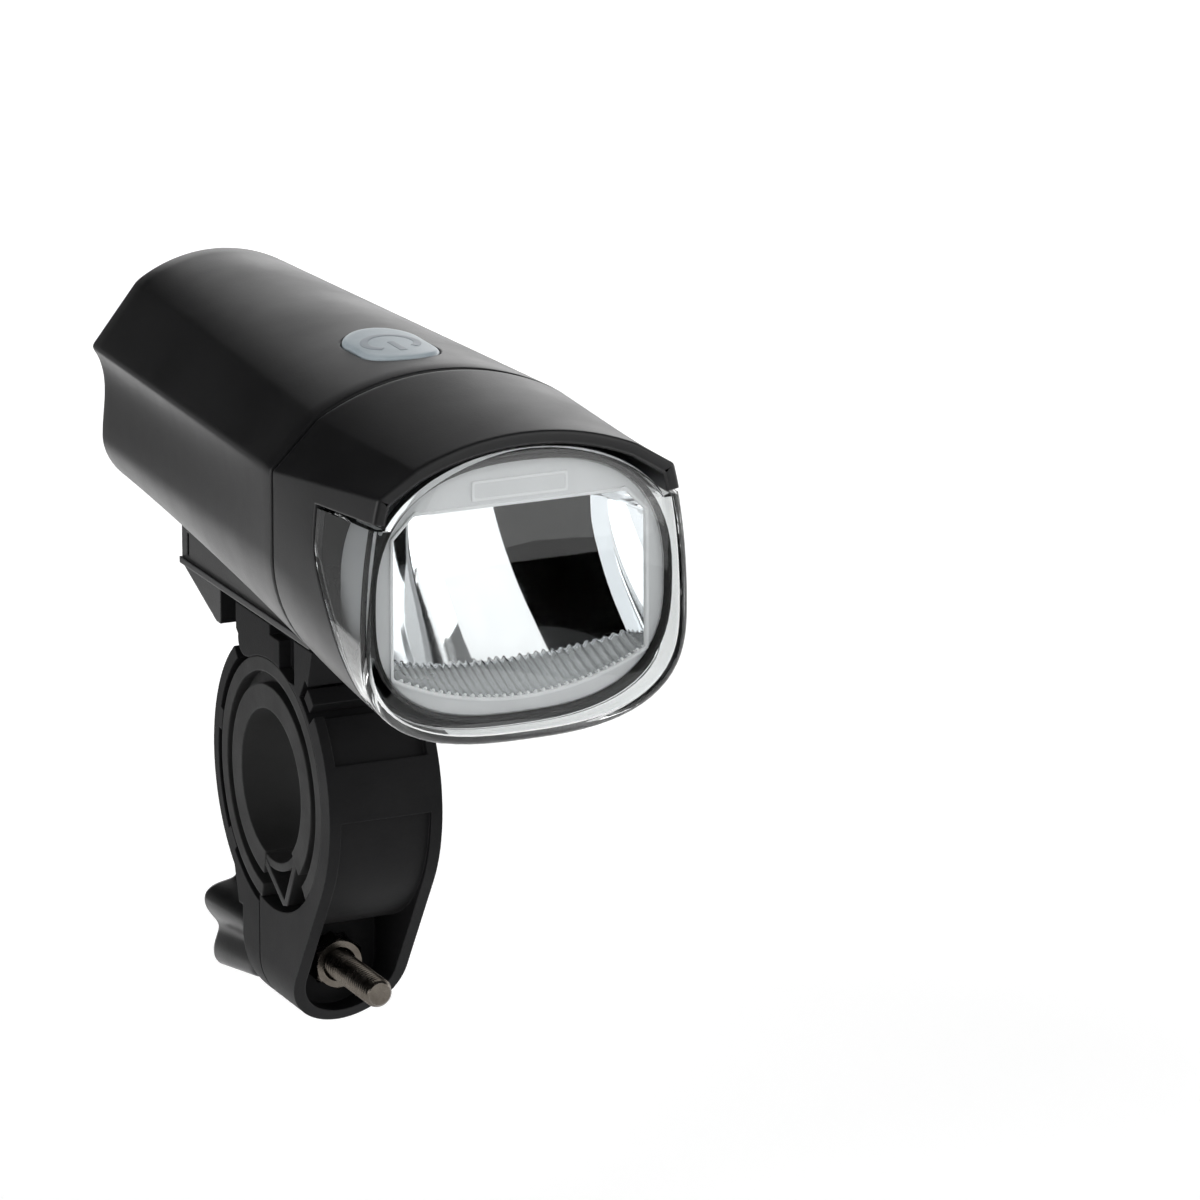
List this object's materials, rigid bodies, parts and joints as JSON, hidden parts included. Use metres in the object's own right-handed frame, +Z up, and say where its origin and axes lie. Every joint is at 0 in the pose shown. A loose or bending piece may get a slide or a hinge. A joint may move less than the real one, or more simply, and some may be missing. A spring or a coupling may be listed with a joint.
{
  "type": "bike headlight",
  "caption": "Black battery headlight on a hinged handlebar clamp, with a clear lens, shaped reflector, top push button and slide-off shoe.",
  "frame": {"origin": "centre of the handlebar seat in the clamp, halfway along the clamp", "axes": "+X along the handlebar, -Y the way the light shines, +Z up"},
  "size_m": [0.0574, 0.1315, 0.1233],
  "materials": {
    "black_plastic": "fine-grained moulded black",
    "black_rubber": "soft matt",
    "dark_steel": "dark nickel plating",
    "bright_steel": "bright nickel plating",
    "grey_translucent": "cloudy translucent silicone-like plastic",
    "clear_plastic": "clear polished polycarbonate",
    "mirror_coating": "vacuum-coated mirror on plastic",
    "white_board": "white-coated metal core board",
    "green_board": "lacquered circuit board",
    "led_yellow": "phosphor under clear dome",
    "led_blue": "clear resin",
    "cell_sleeve": "plain unprinted sleeve"
  },
  "bodies": {
    "clamp": {"clamp_base": "black_plastic", "rubber_liner": "black_rubber", "clamp_nut": "dark_steel", "hinge_pin": "dark_steel"},
    "jaw": {"clamp_jaw": "black_plastic"},
    "bolt": {"clamp_bolt": "dark_steel"},
    "knob": {"clamp_knob": "black_plastic"},
    "tongue": {"release_tongue": "black_plastic"},
    "head": {"slide_shoe": "black_plastic", "shoe_screws": "dark_steel", "battery_housing": "black_plastic"},
    "button": {"power_button": "grey_translucent"},
    "front": {"front_housing": "black_plastic", "housing_seal": "black_rubber", "lens": "clear_plastic", "lens_gasket": "black_rubber", "reflector": "mirror_coating", "reflector_screws": "dark_steel", "led_board": "white_board", "led_emitter": "led_yellow", "switch_board": "green_board", "push_switch": "black_plastic", "status_led": "led_blue", "battery_tray": "black_plastic", "tray_screws": "dark_steel", "battery_cells": "cell_sleeve", "contact_springs": "bright_steel", "contact_plates": "bright_steel"}
  },
  "joints": [
    {"name": "bolt_slide", "type": "slide", "parent": "clamp", "child": "bolt", "axis": [0, 1, 0], "range_m": [0, 0.0049]},
    {"name": "knob_turn", "type": "hinge", "parent": "bolt", "child": "knob", "pos_m": [0, 0.019, -0.0313], "axis": [0, 1, 0], "range_deg": [0, 2160]},
    {"name": "jaw_open", "type": "hinge", "parent": "clamp", "child": "jaw", "pos_m": [0, 0.01108, 0.02174], "axis": [1, 0, 0], "range_deg": [0, 4.4]},
    {"name": "tongue_press", "type": "hinge", "parent": "clamp", "child": "tongue", "pos_m": [0, -0.00585, 0.02348], "axis": [1, 0, 0], "range_deg": [0, 3.5], "stiffness_Nm_per_rad": 0.5},
    {"name": "head_slide", "type": "slide", "parent": "clamp", "child": "head", "axis": [0, 1, 0], "range_m": [0, 0.045]},
    {"name": "front_pull", "type": "slide", "parent": "head", "child": "front", "axis": [0, -1, 0], "range_m": [0, 0.092]},
    {"name": "button_press", "type": "slide", "parent": "head", "child": "button", "axis": [0, 0, -1], "range_m": [0, 0.0005], "stiffness_N_per_m": 1500}
  ],
  "couplings": [
    {"joint": "bolt_slide", "follows": "knob_turn", "m_per_rad": 0.00012732},
    {"joint": "jaw_open", "follows": "knob_turn", "ratio": 0.00197}
  ]
}
